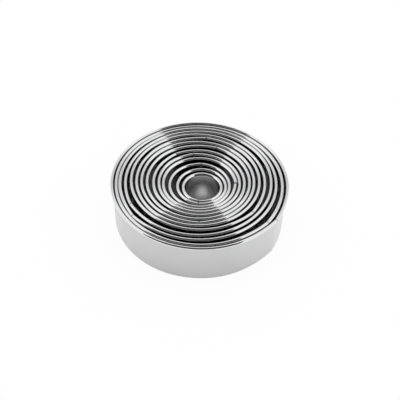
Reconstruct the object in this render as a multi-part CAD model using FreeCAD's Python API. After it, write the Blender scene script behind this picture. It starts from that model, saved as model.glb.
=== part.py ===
import FreeCAD, Part
import math
import os

# A nested set of plain round pastry cutters. Every cutter is one strip of sheet steel, bent into a ring and
# butt-welded where its ends meet. Bending leaves the ends a little flatter than the rest, so the ring comes to a
# blunt corner at the weld. Its upper edge is rolled outward into a rim that stiffens it and spares the hand, and
# its lower edge is the bare edge of the sheet, thin enough to cut dough. The rings stand inside one another, and
# each lifts straight out of the nest.
# Lengths are millimetres and angles are degrees. +Z is up, the rings stand on z = 0, and Z is the axis of the
# largest ring. Rows of values run from the smallest ring to the largest.

# The smallest ring and the height of them all
smallest_cut_diameter = 22.0
ring_height = 30.0

# The strip and its rolled rim, whose round is drawn with flat sides
strip_thickness = 0.4
rim_diameter = 2.0
rim_sides = 8

# The open joint across the rim at the seam
seam_gap = 0.35

# Room between a rim and the wall of the ring around it, and the least that stays open
nest_play = 1.2
nest_clearance = 0.1

# How far a cutting tool runs past what it cuts
overrun = 1.0

# How far from the seam the flatter ends begin, and in how many steps their reach is tried
end_angle = 25
end_steps = 5

# Where each seam points, and half the corner that the strip's ends make there
seam_angles = (259.5, 263, 88, 1, 100, 122, 69.5, 272.5, 83, 321.5, 208.5, 219, 321.5, 326)
corner_angles = (5, 5, 4, 6.5, 4.5, 4.5, 4.5, 4, 4, 5, 3.5, 4.5, 4, 5)

# Play of each ring in the next one, as a share of the nest's play
play_shares = (0.86, 1.18, 1.3, 0.29, 0.66, 1.03, 0.53, 0.63, 0.75, 0.78, 0.54, 0.25, 0.22)

# Where each ring has slid to in the next one, and how much of its room it has used
lean_angles = (293, 323, 279, 269, 285, 302, 297, 255, 273, 113, 69, 125, 232)
lean_shares = (1.0, 1.0, 1.0, 0.93, 0.58, 0.52, 0.6, 0.64, 0.15, 0.43, 0.28, 1.0, 0.51)

origin = FreeCAD.Vector(0, 0, 0)
up = FreeCAD.Vector(0, 0, 1)


def sine(angle):
    return math.sin(math.radians(angle))


def cosine(angle):
    return math.cos(math.radians(angle))


def heading(angle):
    return FreeCAD.Vector(cosine(angle), sine(angle), 0)


def end_shift(radius, corner):
    # The ends are bent on a larger radius, about a centre that lies this far behind the ring's own
    return radius * sine(corner) / (sine(end_angle) - sine(corner))


def rim_reach(radius, corner, off_seam):
    # From the ring's centre to the outside of its rim, at an angle off the seam
    shift = end_shift(radius, corner)
    bend_radius = radius + rim_diameter + shift
    off_bend = end_angle - abs(off_seam)
    return math.sqrt(bend_radius ** 2 - (shift * sine(off_bend)) ** 2) - shift * cosine(off_bend)


def inside_radii():
    # A ring clears the rim and the seam corner of the ring inside it, with some play
    radii = [smallest_cut_diameter / 2]
    for corner, share in zip(corner_angles, play_shares):
        radii.append(rim_reach(radii[-1], corner, 0) + nest_play * share)
    return radii


def lean_room(radius, corner, free_radius, lean_off_seam):
    # How far a ring slides before its rim or its seam corner comes up to the wall around it
    room = free_radius - radius - rim_diameter
    for step in range(-end_steps, end_steps + 1):
        off_seam = end_angle * step / end_steps
        reach = rim_reach(radius, corner, off_seam)
        along = reach * cosine(lean_off_seam - off_seam)
        across = reach * sine(lean_off_seam - off_seam)
        room = min(room, math.sqrt(free_radius ** 2 - across ** 2) - along)
    return room


def ring_centres(radii):
    # The largest ring stands on the axis, and each ring leans inside the one around it
    centres = [origin]
    for k in reversed(range(len(lean_shares))):
        free_radius = radii[k + 1] - nest_clearance
        room = lean_room(radii[k], corner_angles[k], free_radius, lean_angles[k] - seam_angles[k])
        centres.insert(0, centres[0] + heading(lean_angles[k]) * (room * lean_shares[k]))
    return centres


def strip_section(radius):
    # The section on the XZ plane: inner wall, round of the rim, underside of the rim, outer wall, edge
    rim_radius = rim_diameter / 2
    side_turn = 2 * math.pi / rim_sides
    corner_radius = rim_radius / math.cos(side_turn / 2)
    points = [FreeCAD.Vector(radius, 0, 0)]
    for k in range(rim_sides // 2 + 1):
        angle = math.pi - side_turn * (k + 1 / 2)
        x = radius + rim_radius + corner_radius * math.cos(angle)
        z = ring_height - rim_radius + corner_radius * math.sin(angle)
        points.append(FreeCAD.Vector(x, 0, z))
    points.append(FreeCAD.Vector(radius + strip_thickness, 0, ring_height - rim_diameter))
    points.append(FreeCAD.Vector(radius + strip_thickness, 0, 0))
    return Part.Face(Part.makePolygon(points + points[:1]))


def flatter_end(section, radius, corner):
    # The strip's end is bent on past the seam about its own centre, then mitred there on the plane y = 0
    bend_centre = heading(end_angle) * -end_shift(radius, corner)
    end = section.revolve(bend_centre, -up, end_angle)
    reach = rim_reach(radius, corner, 0) + overrun
    run = overrun - bend_centre.y
    beyond = Part.makeBox(reach, run, ring_height + 2 * overrun, FreeCAD.Vector(0, -run, -overrun))
    return end.cut(beyond)


def rim_joint(radius, corner):
    # The ends of the rolled rim only butt together, so a narrow gap shows across the rim
    reach = rim_reach(radius, corner, 0) + overrun
    depth = rim_diameter + overrun
    corner_point = FreeCAD.Vector(0, -seam_gap / 2, ring_height - rim_diameter)
    return Part.makeBox(reach, seam_gap, depth, corner_point)


def ring_cutter(radius, corner):
    # One ring about the Z axis with its seam towards +X
    section = strip_section(radius)
    section.rotate(origin, up, end_angle)
    bend = section.revolve(origin, up, 360 - 2 * end_angle)
    end = flatter_end(section, radius, corner)
    other_end = end.mirror(origin, FreeCAD.Vector(0, 1, 0))
    ring = bend.fuse([end, other_end]).removeSplitter()
    return ring.cut(rim_joint(radius, corner))


os.makedirs("parts", exist_ok=True)
radii = inside_radii()
centres = ring_centres(radii)
for number, (radius, centre) in enumerate(zip(radii, centres), start=1):
    corner = corner_angles[number - 1]
    ring = ring_cutter(radius, corner)
    ring.rotate(origin, up, seam_angles[number - 1])
    ring.translate(centre)
    ring.exportStep(f"parts/ring_cutter_{number:02d}.step")
    print(f"ring_cutter_{number:02d}: cuts {2 * radius:.1f} mm, at {centre.x:.2f}, {centre.y:.2f}")
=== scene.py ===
import bpy
import math
import random
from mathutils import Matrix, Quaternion, Vector


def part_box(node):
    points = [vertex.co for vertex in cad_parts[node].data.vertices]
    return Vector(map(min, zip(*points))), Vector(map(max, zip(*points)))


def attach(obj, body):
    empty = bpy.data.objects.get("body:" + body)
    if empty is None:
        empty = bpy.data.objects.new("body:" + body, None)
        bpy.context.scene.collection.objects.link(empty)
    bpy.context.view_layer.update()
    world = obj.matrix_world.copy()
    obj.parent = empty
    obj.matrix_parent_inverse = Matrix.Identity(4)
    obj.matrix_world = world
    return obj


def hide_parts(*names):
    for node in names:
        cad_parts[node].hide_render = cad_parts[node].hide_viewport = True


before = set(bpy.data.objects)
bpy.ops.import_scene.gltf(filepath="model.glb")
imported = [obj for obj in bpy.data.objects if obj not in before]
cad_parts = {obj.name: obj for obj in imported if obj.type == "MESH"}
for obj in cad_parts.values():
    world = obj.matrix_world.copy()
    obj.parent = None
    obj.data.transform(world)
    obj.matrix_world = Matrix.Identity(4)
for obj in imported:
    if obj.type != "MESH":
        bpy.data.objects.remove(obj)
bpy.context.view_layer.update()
mm = 0.001
white = (1, 1, 1, 1)
black = (0, 0, 0, 1)
scene = bpy.context.scene
scene.view_settings.view_transform = "Standard"

ringNames = sorted(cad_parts)     # ring_cutter_01 is the smallest
print("frame loaded:", len(ringNames), "rings")

# the strip that every ring is bent from, and how finely its mesh is cut
strip = {
    "thickness": 0.4 * mm,
    "rimDiameter": 2.0 * mm,
    "rollSlit": 0.15 * mm,           # left between the end of the roll and the wall
    "edgeRound": 0.06 * mm,          # burr taken off the lower edge
    "seamGap": 0.35 * mm,            # open joint across the rim
    "endTurn": math.radians(25),     # the ends are bent flatter from here to the seam
    "cornerBlend": 0.5 * mm,         # the wall's corner at the weld is this soft
    "rollSteps": 20,
    "wallSteps": 5,
    "stepAround": 1.1 * mm,
    "fewestSteps": 84,
    "fewestEndSteps": 8,
    "sharpAngle": math.radians(30),  # edges that turn more than this stay crisp
    "sameSpot": 0.01 * mm,           # CAD points this near the furthest one are the seam's corner too
    "outOfRound": 0.03 * mm,         # slow waves left by the bending rolls
    "waveLobes": (2, 3, 4),          # of each wave, once round the ring
    "weakestWave": 0.3,
    "waveFade": 1 / 8,               # share of the round in which they come in and die away
    "seed": 14,
    # one end welded this far inward of the other
    "inwardEnds": {"ring_cutter_04": 0.4 * mm},
    # where a roll came out wider: middle and half length in degrees, and how much
    "looseRolls": {
        "ring_cutter_01": ((35, 40, 0.45 * mm), (105, 60, 0.5 * mm), (220, 30, 0.3 * mm)),
        "ring_cutter_04": ((38, 45, 0.8 * mm), (140, 45, 0.4 * mm), (205, 25, 0.15 * mm)),
        "ring_cutter_05": ((135, 25, 0.4 * mm),),
        "ring_cutter_06": ((208, 25, 0.4 * mm), (325, 30, 0.3 * mm)),
        "ring_cutter_07": ((45, 35, 0.7 * mm), (132, 30, 0.5 * mm)),
        "ring_cutter_08": ((45, 35, 0.45 * mm), (130, 38, 0.7 * mm), (300, 20, 0.3 * mm)),
        "ring_cutter_09": ((45, 40, 0.6 * mm), (125, 30, 0.7 * mm), (230, 25, 0.35 * mm)),
        "ring_cutter_11": ((32, 32, 0.45 * mm), (122, 25, 0.35 * mm)),
        "ring_cutter_12": ((187, 30, 0.35 * mm),),
        "ring_cutter_13": ((44, 62, 0.8 * mm), (138, 35, 0.4 * mm), (213, 30, 0.25 * mm),
                           (330, 30, 0.4 * mm)),
    },
    # a little longer along one diagonal than along the other
    "ovals": {"ring_cutter_04": 0.06 * mm, "ring_cutter_05": -0.06 * mm, "ring_cutter_06": -0.08 * mm,
              "ring_cutter_09": 0.12 * mm, "ring_cutter_10": -0.28 * mm, "ring_cutter_11": 0.28 * mm,
              "ring_cutter_12": 0.09 * mm, "ring_cutter_13": -0.18 * mm, "ring_cutter_14": -0.18 * mm},
}


def readRing(name):
    # centre, radius and seam of a ring, taken from its CAD node
    low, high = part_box(name)
    spots = [Vector(v.co[:2]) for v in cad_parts[name].data.vertices]
    middle = Vector(((low.x + high.x) / 2, (low.y + high.y) / 2))
    seamWay = max((p - middle for p in spots), key=lambda p: p.length)
    reach = min(high.x - low.x, high.y - low.y) / 2
    # the seam corner can push one side of the box out, so the centre is set from the other side
    centre = Vector([low[k] + reach if seamWay[k] > 0 else high[k] - reach for k in (0, 1)])
    furthest = max((p - centre).length for p in spots)
    corners = [p - centre for p in spots if (p - centre).length > furthest - strip["sameSpot"]]
    seamWay = sum(corners, Vector((0, 0)))
    # how far behind the ring's centre the flatter ends have theirs
    off = strip["seamGap"] / 2
    ahead = math.sqrt(furthest ** 2 - off ** 2)
    endTurn = strip["endTurn"]
    shift = (furthest ** 2 - reach ** 2) / 2 / (reach - ahead * math.cos(endTurn) - off * math.sin(endTurn))
    return {
        "name": name,
        "centre": centre,
        "inside": reach - strip["rimDiameter"],
        "height": high.z,
        "seam": math.atan2(seamWay.y, seamWay.x),
        "shift": shift,
        "oval": strip["ovals"].get(name, 0),
    }


def stripSection(height):
    # two matching rows of (distance from the inner wall, height):
    # the inside with the roll's outside, and the outside with the roll's hollow
    thickness, roll = strip["thickness"], strip["rimDiameter"] / 2
    edge, rollHeight = strip["edgeRound"], height - roll
    jointHeight = height - strip["rimDiameter"]
    levels = [edge + (jointHeight - edge) * k / strip["wallSteps"] for k in range(strip["wallSteps"] + 1)]
    insideRow = [(0, z) for z in levels]
    outsideRow = [(thickness, z) for z in levels]
    rollEnd = -math.acos((thickness + strip["rollSlit"]) / roll - 1)
    for k in range(strip["rollSteps"] + 1):
        turn = math.pi + (rollEnd - math.pi) * k / strip["rollSteps"]
        for row, size in ((insideRow, roll), (outsideRow, roll - thickness)):
            row.append((roll + size * math.cos(turn), rollHeight + size * math.sin(turn)))
    insideRow.insert(0, (edge, 0))
    outsideRow.insert(0, (thickness - edge, 0))
    joint = strip["wallSteps"] + 1       # from this pair up the strip is rim
    return insideRow, outsideRow, joint


def endBend(ring, x, slack):
    # turn about an end's bending centre at which the strip still lacks this much to the seam
    across = slack + ring["shift"] * math.sin(strip["endTurn"])
    return math.asin(across / (ring["inside"] + x + ring["shift"]))


def ringStations(ring, draw):
    # stations from the seam round to the seam:
    # which end it is on or 0 for the round, turn, slack before the seam, sway
    endTurn, blend, pitch = strip["endTurn"], strip["cornerBlend"], strip["stepAround"]
    firstTurn = endBend(ring, 0, blend)
    endLength = (ring["inside"] + ring["shift"]) * (endTurn - firstTurn)
    endCount = max(strip["fewestEndSteps"], round(endLength / pitch))
    endTurns = [firstTurn + (endTurn - firstTurn) * k / endCount for k in range(1, endCount)]
    stations = [(1, None, slack, 0) for slack in (0, strip["seamGap"] / 2, blend)]
    stations += [(1, turn, 0, 0) for turn in endTurns]
    # the round, whose waves only go inward
    count = max(strip["fewestSteps"], round(2 * (math.pi - endTurn) * ring["inside"] / pitch))
    lobes = strip["waveLobes"]
    waves = [(n, draw.uniform(0, 2 * math.pi), draw.uniform(strip["weakestWave"], 1)) for n in lobes]
    for k in range(count + 1):
        along = k / count
        turn = endTurn + 2 * (math.pi - endTurn) * along
        sway = sum(size * math.sin(n * turn + phase) for n, phase, size in waves)
        fade = min(1, along / strip["waveFade"], (1 - along) / strip["waveFade"])
        stations.append((0, turn, 0, strip["outOfRound"] * fade * (sway - len(lobes)) / (2 * len(lobes))))
    # the other end, which may stand inward
    inward = strip["inwardEnds"].get(ring["name"], 0)
    for turn in reversed(endTurns):
        stations.append((-1, turn, 0, inward * (turn - endTurn) / (endTurn - firstTurn)))
    stations += [(-1, None, slack, -inward) for slack in (blend, strip["seamGap"] / 2)]
    return stations


def stationPoint(ring, station, x, z):
    # a point of the strip's section at one station
    side, turn, slack, sway = station
    reach = ring["inside"] + x + sway
    spot = ring["centre"].copy()
    if side:
        if turn is None:
            turn = endBend(ring, x, slack)
        turn *= side
        bendWay = ring["seam"] + side * strip["endTurn"]
        spot -= Vector((math.cos(bendWay), math.sin(bendWay))) * ring["shift"]
        reach += ring["shift"]
    turn += ring["seam"]
    spot += Vector((math.cos(turn), math.sin(turn))) * reach
    off = spot - ring["centre"]
    spot += off.normalized() * ring["oval"] * math.sin(2 * math.atan2(off.y, off.x))
    return (spot.x, spot.y, z)


def rollGrowth(ring, station):
    # how much larger the roll is here than it should be
    side, turn = station[:2]
    here = ring["seam"] + (turn or 0) * (side or 1)      # stations without a turn are at the seam
    extra = 0
    for middle, half, size in strip["looseRolls"].get(ring["name"], ()):
        off = abs(math.remainder(here - math.radians(middle), 2 * math.pi)) / math.radians(half)
        extra += size * math.cos(min(1, off) * math.pi / 2) ** 2
    return 1 + extra / strip["rimDiameter"]


def newPiece(name, points, faces):
    mesh = bpy.data.meshes.new(name)
    mesh.from_pydata(points, [], faces)
    piece = bpy.data.objects.new(name, mesh)
    scene.collection.objects.link(piece)
    return piece


def buildRing(ring, draw):
    insideRow, outsideRow, joint = stripSection(ring["height"])
    section = insideRow + outsideRow[::-1]       # once round the section
    girth = len(section)
    partner = [girth - 1 - k for k in range(girth)]      # the point across the strip's thickness
    isRim = [joint < min(k, partner[k]) for k in range(girth)]
    stations = ringStations(ring, draw)
    total = len(stations)
    points, faces, index = [], [], {}
    for s, station in enumerate(stations):
        growth = rollGrowth(ring, station)
        for k, (x, z) in enumerate(section):
            if s == 0 and isRim[k]:
                continue                         # the rim is open at the weld
            if isRim[k]:
                x, z = x * growth, ring["height"] - (ring["height"] - z) * growth
            index[s, k] = len(points)
            points.append(stationPoint(ring, station, x, z))
    for s in range(total):
        after = (s + 1) % total
        for k in range(girth):
            nextK = (k + 1) % girth
            corners = ((s, k), (after, k), (after, nextK), (s, nextK))
            if all(c in index for c in corners):
                faces.append([index[c] for c in corners])
    for s in (1, total - 1):
        # each end of the rim is closed, and so is the top of the wall in the joint
        caps = []
        for k in range(joint, len(insideRow) - 1):
            caps.append(((s, k), (s, k + 1), (s, partner[k + 1]), (s, partner[k])))
        caps.append(((0, joint), (s, joint), (s, partner[joint]), (0, partner[joint])))
        for cap in caps:
            faces.append([index[c] for c in (cap if s == 1 else cap[::-1])])
    piece = newPiece(ring["name"] + "_strip", points, faces)
    piece.data.validate()
    piece.data.update()
    piece.data.shade_smooth()
    piece.data.set_sharp_from_angle(angle=strip["sharpAngle"])
    return piece


nodePitch = 180      # between neighbours in the node editor


def feedNode(tree, node, feeds):
    # each socket, by its label or number, takes a link or a plain value
    for label, value in feeds.items():
        if isinstance(value, bpy.types.NodeSocket):
            tree.links.new(value, node.inputs[label])
        else:
            node.inputs[label].default_value = value


def newNode(tree, kind, place, feeds=None, **settings):
    node = tree.nodes.new(kind)
    node.location = (place[0] * nodePitch, place[1] * nodePitch)
    for key, value in settings.items():
        setattr(node, key, value)
    feedNode(tree, node, feeds or {})
    return node


def mathNode(tree, place, operation, *inputs):
    return newNode(tree, "ShaderNodeMath", place, dict(enumerate(inputs)), operation=operation).outputs[0]


def vectorNode(tree, place, operation, feeds):
    return newNode(tree, "ShaderNodeVectorMath", place, feeds, operation=operation).outputs


def mixNode(tree, place, kind, share, low, high):
    feeds = {"Factor": share, "A": low, "B": high}
    return newNode(tree, "ShaderNodeMix", place, feeds, data_type=kind).outputs["Result"]


def clampNode(tree, place, value):
    return newNode(tree, "ShaderNodeClamp", place, {"Value": value}).outputs[0]


def splitNode(tree, place, vector):
    return newNode(tree, "ShaderNodeSeparateXYZ", place, {0: vector}).outputs


def rampNode(tree, place, value, start, stop, most):
    # a soft rise from nothing at the start to the most at the stop
    feeds = {"Value": value, "From Min": start, "From Max": stop, "To Max": most}
    ramp = newNode(tree, "ShaderNodeMapRange", place, feeds, interpolation_type="SMOOTHSTEP")
    return ramp.outputs["Result"]


def newMaterial(name):
    material = bpy.data.materials.new(name)
    material.use_nodes = True
    return material, material.node_tree, material.node_tree.nodes["Principled BSDF"]


def newGroup(name, values, masks):
    # a group that takes a place and some values, and puts out masks
    group = bpy.data.node_groups.new(name, "ShaderNodeTree")
    group.interface.new_socket("Place", in_out="INPUT", socket_type="NodeSocketVector")
    for label, value in values.items():
        socket = group.interface.new_socket(label, in_out="INPUT", socket_type="NodeSocketFloat")
        socket.default_value = value
    for label in masks:
        group.interface.new_socket(label, in_out="OUTPUT", socket_type="NodeSocketFloat")
    given = newNode(group, "NodeGroupInput", (-6, 0)).outputs
    end = newNode(group, "NodeGroupOutput", (8, 0))
    return group, given, end


grainValues = {
    "Radius": 50 * mm,
    "Length": 60,            # lines per metre along the strip
    "Fineness": 9000,        # and across it
}


def rollingGrainGroup():
    # fine lines left along the strip by rolling and polishing, which run round the ring
    group, given, end = newGroup("rollingGrain", grainValues, ("Lines",))
    split = splitNode(group, (-5, 0), given["Place"])
    turn = mathNode(group, (-4, 1), "ARCTAN2", split["Y"], split["X"])
    along = mathNode(group, (-3, 1), "MULTIPLY", turn, given["Radius"])
    lengthwise = mathNode(group, (-2, 1), "MULTIPLY", along, given["Length"])
    crosswise = mathNode(group, (-2, 0), "MULTIPLY", split["Z"], given["Fineness"])
    feeds = {"X": lengthwise, "Y": crosswise, "Z": split["X"]}
    spot = newNode(group, "ShaderNodeCombineXYZ", (-1, 0), feeds).outputs[0]
    lines = newNode(group, "ShaderNodeTexNoise", (1, 1), {"Vector": spot, "Scale": 1, "Detail": 3})
    feedNode(group, end, {"Lines": lines.outputs["Fac"]})
    return group


zoneValues = {
    "Rim Height": 28 * mm,
    "Rim Sharpness": 2500,   # per metre, how fast the rim's polish comes in
    "Edge Fall": -700,       # per metre, how fast the lower edge's wear fades upward
    "Seam Turn": 0,
    "Weld Width": 0.8 * mm,
}


def stripZonesGroup():
    # masks for the polished rim, the outer wall, the worn lower edge and the ground weld line
    group, given, end = newGroup("stripZones", zoneValues, ("Rim", "Outside", "Edge", "Weld"))
    height = splitNode(group, (-5, 0), given["Place"])["Z"]
    aboveJoint = mathNode(group, (-3, 2), "SUBTRACT", height, given["Rim Height"])
    polish = mathNode(group, (-2, 2), "MULTIPLY", aboveJoint, given["Rim Sharpness"])
    rim = clampNode(group, (0, 2), polish)
    wear = mathNode(group, (-3, 0), "MULTIPLY", height, given["Edge Fall"])
    edge = mathNode(group, (-1, 0), "EXPONENT", wear)
    # the weld, with the seam turned to +X
    back = mathNode(group, (-5, -3), "MULTIPLY", given["Seam Turn"], -1)
    feeds = {"Vector": given["Place"], "Angle": back}
    turned = newNode(group, "ShaderNodeVectorRotate", (-4, -2), feeds, rotation_type="Z_AXIS")
    across = splitNode(group, (-3, -2), turned.outputs[0])
    ahead = mathNode(group, (-2, -3), "GREATER_THAN", across["X"], 0)
    offWeld = mathNode(group, (-2, -2), "ABSOLUTE", across["Y"])
    share = mathNode(group, (-1, -2), "DIVIDE", offWeld, given["Weld Width"])
    fall = mathNode(group, (0, -2), "SUBTRACT", 1, share)
    weld = mathNode(group, (2, -2), "MULTIPLY", clampNode(group, (1, -2), fall), ahead)
    # the outer wall faces away from the axis
    surface = newNode(group, "ShaderNodeNewGeometry", (-5, 4)).outputs["Normal"]
    facing = vectorNode(group, (-3, 4), "DOT_PRODUCT", {0: surface, 1: given["Place"]})["Value"]
    faceOut = mathNode(group, (-1, 4), "GREATER_THAN", facing, 0)
    belowRim = mathNode(group, (1, 3), "SUBTRACT", 1, rim)
    outside = mathNode(group, (3, 4), "MULTIPLY", faceOut, belowRim)
    feedNode(group, end, {"Rim": rim, "Outside": outside, "Edge": edge, "Weld": weld})
    return group


markValues = {
    "Scratch Scale": 160,
    "Scratch Width": 0.012,
    "Bend Scale": 25,        # of the noise that makes the scratches wander
    "Bend": 20 * mm,         # and how far
    "Wipe Scale": 35,
}


def handlingGroup():
    # hairline scratches and faint wiping marks
    group, given, end = newGroup("handlingMarks", markValues, ("Scratches", "Wipes"))
    place = given["Place"]
    bent = newNode(group, "ShaderNodeTexNoise", (-4, 1), {"Vector": place, "Scale": given["Bend Scale"]})
    shift = vectorNode(group, (-3, 1), "SCALE", {0: bent.outputs["Color"], "Scale": given["Bend"]})[0]
    moved = vectorNode(group, (-2, 1), "ADD", {0: place, 1: shift})[0]
    feeds = {"Vector": moved, "Scale": given["Scratch Scale"]}
    cells = newNode(group, "ShaderNodeTexVoronoi", (-1, 1), feeds, feature="DISTANCE_TO_EDGE")
    thin = mathNode(group, (1, 1), "LESS_THAN", cells.outputs["Distance"], given["Scratch Width"])
    feeds = {"Vector": place, "Scale": given["Wipe Scale"], "Detail": 5, "Distortion": 0.8}
    wipes = newNode(group, "ShaderNodeTexNoise", (-1, -1), feeds)
    feedNode(group, end, {"Scratches": thin, "Wipes": wipes.outputs["Fac"]})
    return group


steel = {
    "colour": (0.85, 0.85, 0.855, 1),
    "outside": (0.66, 0.66, 0.665, 1),   # the outer wall: painted shade, coloured darker than the rim, as the table it mirrors lies in the set's shade
    # painted shade: the smallest ring's inner wall is coloured darker, for the shade deep inside it
    "paintedShadeInsides": {"ring_cutter_01": (0.58, 0.58, 0.585, 1)},
    "shade": (0.6, 0.6, 0.605, 1),       # towards this by these shares, in the marks and along the weld
    "wipeShade": 0.35,
    "scratchShade": 0.12,
    "weldShade": 0.25,
    "weldWidth": 0.7 * mm,               # the ground weld fades out over this on each side
    "joint": (0.03, 0.03, 0.03, 1),      # painted shade in the open joint of the rim
    "jointShadeHalf": 0.2 * mm,              # half as wide as its dark line
    "widerJointShades": {"ring_cutter_01": 0.3 * mm, "ring_cutter_04": 0.5 * mm},
    "jointSharpness": 5,                 # of the dark line, over the weld's width
    "rimRoughness": 0.05,
    "insideRoughness": 0.1,
    "outsideRoughness": 0.24,            # of the largest ring, which is the one that hands hold
    "shelteredRoughness": 0.1,           # of the rings inside it
    "grainRoughness": 0.05,              # what the rolling lines, the worn edge and the marks add
    "edgeRoughness": 0.08,
    "markRoughness": 0.05,
    "grainDepth": 0.0012 * mm,
    "weldRidge": 2,                      # times as high as the rolling lines
    "relief": 0.5,
}
groups = {"grain": rollingGrainGroup(), "zones": stripZonesGroup(), "marks": handlingGroup()}


def placeGroup(tree, name, place, feeds):
    return newNode(tree, "ShaderNodeGroup", place, feeds, node_tree=groups[name]).outputs


def steelColour(tree, ring, zones, dullness):
    # on the smallest ring the inner wall takes painted shade
    inside = steel["paintedShadeInsides"].get(ring["name"], steel["colour"])
    # painted shade: the outer walls are coloured darker than the rim
    paintedShadeWalls = mixNode(tree, (-4, 4), "RGBA", zones["Outside"], inside, steel["outside"])
    sides = mixNode(tree, (-3, 4), "RGBA", zones["Rim"], paintedShadeWalls, steel["colour"])
    colour = mixNode(tree, (-1, 2), "RGBA", dullness, sides, steel["shade"])
    # painted shade: a thin dark line where the rim's ends meet, half faded at its edge
    halfLine = steel["widerJointShades"].get(ring["name"], steel["jointShadeHalf"])
    sharpness = steel["jointSharpness"]
    start = sharpness * (halfLine / steel["weldWidth"] - 1) + 1 / 2
    nearJoint = mathNode(tree, (-3, -1), "MULTIPLY_ADD", zones["Weld"], sharpness, start)
    paintedJointShade = mathNode(tree, (-1, 0), "MULTIPLY", clampNode(tree, (-2, 0), nearJoint), zones["Rim"])
    return mixNode(tree, (0, 2), "RGBA", paintedJointShade, colour, steel["joint"])


def steelRoughness(tree, ring, zones, lines, marked):
    # rim against wall, then the lines, the worn lower edge and the marks
    isHeld = ring["name"] == ringNames[-1]
    outside = steel["outsideRoughness"] if isHeld else steel["shelteredRoughness"]
    wall = mixNode(tree, (-4, 1), "FLOAT", zones["Outside"], steel["insideRoughness"], outside)
    finish = mixNode(tree, (-3, 1), "FLOAT", zones["Rim"], wall, steel["rimRoughness"])
    offMiddle = mathNode(tree, (-4, 3), "SUBTRACT", lines, 0.5)
    lined = mathNode(tree, (-3, 3), "MULTIPLY_ADD", offMiddle, steel["grainRoughness"], finish)
    worn = mathNode(tree, (-2, 1), "MULTIPLY_ADD", zones["Edge"], steel["edgeRoughness"], lined)
    return mathNode(tree, (-1, 1), "MULTIPLY_ADD", marked, steel["markRoughness"], worn)


def steelRelief(tree, zones, lines):
    # rolling lines, and a slight ridge on the weld
    ridge = mathNode(tree, (-3, -4), "MULTIPLY_ADD", zones["Weld"], steel["weldRidge"], lines)
    feeds = {"Height": ridge, "Strength": steel["relief"], "Distance": steel["grainDepth"]}
    return newNode(tree, "ShaderNodeBump", (-1, -4), feeds).outputs["Normal"]


def ringSteel(ring):
    # cold-rolled stainless strip: satin wall with fine lines along it, brighter where the rim was rolled;
    # the outer wall's darker colour is painted shade
    material, tree, shader = newMaterial(ring["name"] + "_steel")
    coords = newNode(tree, "ShaderNodeTexCoord", (-9, 0)).outputs["Object"]
    axis = (ring["centre"].x, ring["centre"].y, 0)
    place = vectorNode(tree, (-8, 0), "SUBTRACT", {0: coords, 1: axis})[0]
    grain = placeGroup(tree, "grain", (-6, 2), {"Place": place, "Radius": ring["inside"]})
    marks = placeGroup(tree, "marks", (-6, -2), {"Place": place})
    zones = placeGroup(tree, "zones", (-6, 0), {
        "Place": place,
        "Rim Height": ring["height"] - strip["rimDiameter"],
        "Seam Turn": ring["seam"],
        "Weld Width": steel["weldWidth"],
    })
    # a little darker in the wiping marks, the scratches and the weld
    wiped = mathNode(tree, (-4, -2), "MULTIPLY", marks["Wipes"], steel["wipeShade"])
    scratched = mathNode(tree, (-4, -3), "MULTIPLY", marks["Scratches"], steel["scratchShade"])
    marked = mathNode(tree, (-3, -2), "ADD", wiped, scratched)
    welded = mathNode(tree, (-4, 0), "MULTIPLY", zones["Weld"], steel["weldShade"])
    dullness = mathNode(tree, (-2, -1), "ADD", marked, welded)
    feedNode(tree, shader, {
        "Metallic": 1,
        "Base Color": steelColour(tree, ring, zones, dullness),
        "Roughness": steelRoughness(tree, ring, zones, grain["Lines"], marked),
        "Normal": steelRelief(tree, zones, grain["Lines"]),
    })
    return material


rings = {name: readRing(name) for name in ringNames}
draw = random.Random(strip["seed"])
for name, ring in rings.items():
    piece = buildRing(ring, draw)
    piece.data.materials.append(ringSteel(ring))
    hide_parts(name)
    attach(piece, name)
    seamDegrees = math.degrees(ring["seam"]) % 360
    cornerDegrees = math.degrees(endBend(ring, 0, 0))
    print(f"{name}: inside {2 * ring['inside'] / mm:.1f} mm, seam at {seamDegrees:.1f} degrees,",
          f"corner {cornerDegrees:.1f}")

# the table and the white room round it
studio = {
    "floorSize": 6.0,
    "floorDrop": 0.05 * mm,              # the table lies this far under the lower edges
    "floorColour": (0.92, 0.92, 0.92, 1),
    "floorRoughness": 0.9,
    "floorShine": 0.1,
    "floorGlow": 0.93,                   # share of the table that stays white, the rest takes shadow
    "footInset": 0.15 * mm,              # the glow stops this far under the largest ring's wall
    "mirrorGlow": 0.25,                  # how much of that glow the metal sees
    "paintedSideGlow": {1: 0.75, -1: 0.55},     # painted light: how much more glow the metal sees to the right and to the left of the set, for side light on the table
    "sideFrom": 15 * mm,
    "sideTo": 65 * mm,
    "pool": 0.5,                         # painted light: the table glows in a spot inside the smallest ring, for the light the ring gathers there
    "poolRadius": 8.5 * mm,
    "poolAhead": 2.5 * mm,
    "skyFill": 0.95,                     # world light on the table
}


def makeWorld():
    world = bpy.data.worlds.new("studioWhite")
    scene.world = world
    world.use_nodes = True
    tree = world.node_tree
    # rays from the camera, from metal and through glass meet plain white
    path = newNode(tree, "ShaderNodeLightPath", (-5, 0)).outputs
    seen = mathNode(tree, (-4, 0), "ADD", path["Is Camera Ray"], path["Is Glossy Ray"])
    seen = mathNode(tree, (-3, 0), "ADD", seen, path["Is Transmission Ray"])
    strength = mixNode(tree, (-2, 0), "FLOAT", seen, studio["skyFill"], 1)
    feedNode(tree, tree.nodes["Background"], {"Color": white, "Strength": strength})


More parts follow.
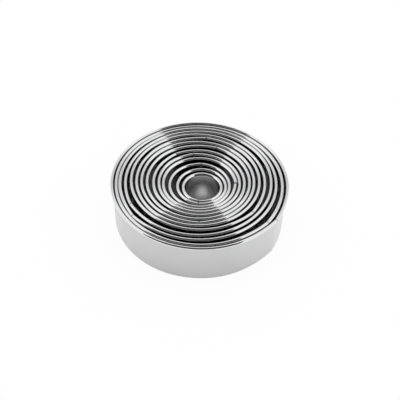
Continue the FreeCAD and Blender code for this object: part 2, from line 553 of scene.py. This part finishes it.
def tableGlow(tree, spot):
    # share of the table's own white that a ray sees: all from the camera and through glass, less from metal
    path = newNode(tree, "ShaderNodeLightPath", (-6, 1)).outputs
    whole = mathNode(tree, (-5, 1), "ADD", path["Is Camera Ray"], path["Is Transmission Ray"])
    across = splitNode(tree, (-7, 7), spot)["X"]
    # painted light: the table glows more to each side for the metal, standing in for light from the sides
    mirrored = studio["mirrorGlow"]
    for side, extra in studio["paintedSideGlow"].items():
        start, stop = side * studio["sideFrom"], side * studio["sideTo"]
        ramp = rampNode(tree, (-6, 7 + side), across, start, stop, extra)
        mirrored = mathNode(tree, (-5, 7 + side), "ADD", ramp, mirrored)
    seen = mathNode(tree, (-4, 1), "MULTIPLY_ADD", path["Is Glossy Ray"], mirrored, whole)
    # the glow stops under the set, where no studio light reaches the table
    footRadius = rings[ringNames[-1]]["inside"] + strip["thickness"] - studio["footInset"]
    fromMiddle = vectorNode(tree, (-6, 3), "LENGTH", {0: spot})["Value"]
    outside = mathNode(tree, (-5, 3), "GREATER_THAN", fromMiddle, footRadius)
    seenOutside = mathNode(tree, (-3, 2), "MULTIPLY", seen, outside)
    return mathNode(tree, (-2, 2), "MULTIPLY", seenOutside, studio["floorGlow"])


def paintedLightPool(tree, spot):
    # painted pool of light: a soft glowing spot on the table, a little towards the camera from the smallest
    # ring's axis
    centre = rings[ringNames[0]]["centre"]
    middle = (centre.x, centre.y - studio["poolAhead"], 0)
    fromPool = vectorNode(tree, (-6, 5), "DISTANCE", {0: spot, 1: middle})["Value"]
    return rampNode(tree, (-4, 5), fromPool, studio["poolRadius"], 0, studio["pool"])


def makeFloor():
    half = studio["floorSize"] / 2
    corners = [(-half, -half, 0), (half, -half, 0), (half, half, 0), (-half, half, 0)]
    floor = newPiece("table", corners, [(0, 1, 2, 3)])
    floor.location.z = -studio["floorDrop"]
    material, tree, shader = newMaterial("whiteTable")
    spot = newNode(tree, "ShaderNodeTexCoord", (-7, 3)).outputs["Object"]
    feedNode(tree, shader, {
        "Base Color": studio["floorColour"],
        "Roughness": studio["floorRoughness"],
        "Specular IOR Level": studio["floorShine"],
        "Emission Color": white,
        # painted light: the table glows in the pool inside the smallest ring
        "Emission Strength": paintedLightPool(tree, spot),
    })
    glow = newNode(tree, "ShaderNodeEmission", (-1, -3), {"Color": white, "Strength": 1})
    feeds = {"Fac": tableGlow(tree, spot), 1: shader.outputs[0], 2: glow.outputs[0]}
    both = newNode(tree, "ShaderNodeMixShader", (3, 0), feeds)
    feedNode(tree, tree.nodes["Material Output"], {"Surface": both.outputs[0]})
    floor.data.materials.append(material)


def placeCard(name, points, faces, brightness):
    # a card that only the metal sees, evenly lit
    card = newPiece(name, points, faces)
    material, tree, shader = newMaterial(name + "Paper")
    feedNode(tree, shader, {
        "Base Color": black,
        "Specular IOR Level": 0,
        "Emission Color": white,
        "Emission Strength": brightness,
    })
    card.data.materials.append(material)
    card.visible_camera = False
    card.visible_diffuse = False
    card.visible_shadow = False


def wayTo(turn, rise):
    # direction from the set, by degrees from the back towards the right and degrees above the table
    turn, rise = math.radians(turn), math.radians(rise)
    return Vector((math.sin(turn) * math.cos(rise), math.cos(turn) * math.cos(rise), math.sin(rise)))


# a black canopy over the set and round the camera's side: the rims turn dark where they face it
canopy = {
    "brightness": 0.08,
    "radius": 1.6,
    # degrees from the back towards the right, and how high the hem hangs there
    "hem": ((-180, -3), (-122, -3), (-117, 20), (-110, 45), (-100, 60), (-83, 65), (-53, 73), (-30, 70),
            (0, 66), (30, 70), (53, 73), (83, 68), (102, 63), (121, 50), (131, 25), (137, -3), (180, -3)),
    "stepsRound": 120,
    "stepsUp": 8,
}


def hemAt(turn):
    # straight from one point of the hem to the next
    hem = canopy["hem"]
    for (turn0, rise0), (turn1, rise1) in zip(hem, hem[1:]):
        if turn <= turn1:
            return rise0 + (rise1 - rise0) * (turn - turn0) / (turn1 - turn0)


def makeCanopy():
    points, faces = [], []
    up = canopy["stepsUp"]
    for k in range(canopy["stepsRound"] + 1):
        turn = 360 * k / canopy["stepsRound"] - 180
        hem = hemAt(turn)
        for n in range(up + 1):
            points.append(wayTo(turn, hem + (90 - hem) * n / up) * canopy["radius"])
            if k and n:
                here = k * (up + 1) + n
                faces.append((here - up - 2, here - 1, here, here - up - 1))
    placeCard("canopy", points, faces, canopy["brightness"])


# grey cards behind the set, clear of the table so that white shows below them
backdrop = {
    "radius": 1.75,
    "steps": 12,
    # from and to in degrees towards the right, lowest and highest degrees, brightness
    "cards": {
        "backCard": (-22, 22, 26, 50, 0.9),
        "leftFlag": (-50, -22, 12, 50, 0.6),
        "rightFlag": (22, 50, 12, 50, 0.55),
    },
}


def makeBackdrop():
    for name, (left, right, low, high, brightness) in backdrop["cards"].items():
        points, faces = [], []
        for k in range(backdrop["steps"] + 1):
            turn = left + (right - left) * k / backdrop["steps"]
            points += [wayTo(turn, rise) * backdrop["radius"] for rise in (low, high)]
            if k:
                faces.append((2 * k - 2, 2 * k - 1, 2 * k + 1, 2 * k))
        placeCard(name, points, faces, brightness)


# degrees from the back to the right, degrees up, distance, width, height, brightness
lamps = {
    "rightSoftbox": (80, 36, 1.9, 2.0, 1.9, 0.4),
    "leftSoftbox": (-80, 36, 1.9, 2.0, 1.9, 0.4),
}


def makeLamps():
    for name, (turn, rise, distance, width, height, brightness) in lamps.items():
        light = bpy.data.lights.new(name, "AREA")
        light.shape = "RECTANGLE"
        light.size = width
        light.size_y = height
        light.energy = brightness * math.pi * width * height
        lamp = bpy.data.objects.new(name, light)
        scene.collection.objects.link(lamp)
        lamp.visible_glossy = False      # the metal sees the white room behind the lamps
        way = wayTo(turn, rise)
        lamp.location = way * distance
        lamp.rotation_euler = way.to_track_quat("Z", "Y").to_euler()


view = {
    "distance": 0.505,
    "rise": 46.5,            # degrees above the table
    "roll": 1.6,             # degrees, right end of the set lower
    "sensorWidth": 36,       # the camera's own millimetres
    "focalPixels": 775.3,
    "imagePixels": 400,
    "aim": (-0.45 * mm, -0.95 * mm, 14.1 * mm),
    "aimPixels": (198.52, 198.48),       # where the aim stands in the picture, from its upper left
}


def makeCamera():
    data = bpy.data.cameras.new("photoView")
    data.sensor_width = view["sensorWidth"]
    data.lens = view["focalPixels"] * view["sensorWidth"] / view["imagePixels"]
    data.shift_x = (view["imagePixels"] / 2 - view["aimPixels"][0]) / view["imagePixels"]
    data.shift_y = (view["aimPixels"][1] - view["imagePixels"] / 2) / view["imagePixels"]
    camera = bpy.data.objects.new("photoView", data)
    scene.collection.objects.link(camera)
    back = wayTo(180, view["rise"])
    camera.location = Vector(view["aim"]) + back * view["distance"]
    camera.rotation_mode = "QUATERNION"
    roll = Quaternion((0, 0, 1), math.radians(view["roll"]))
    camera.rotation_quaternion = back.to_track_quat("Z", "Y") @ roll
    scene.camera = camera


makeWorld()
makeFloor()
makeCanopy()
makeBackdrop()
makeLamps()
makeCamera()
print("studio and camera set")
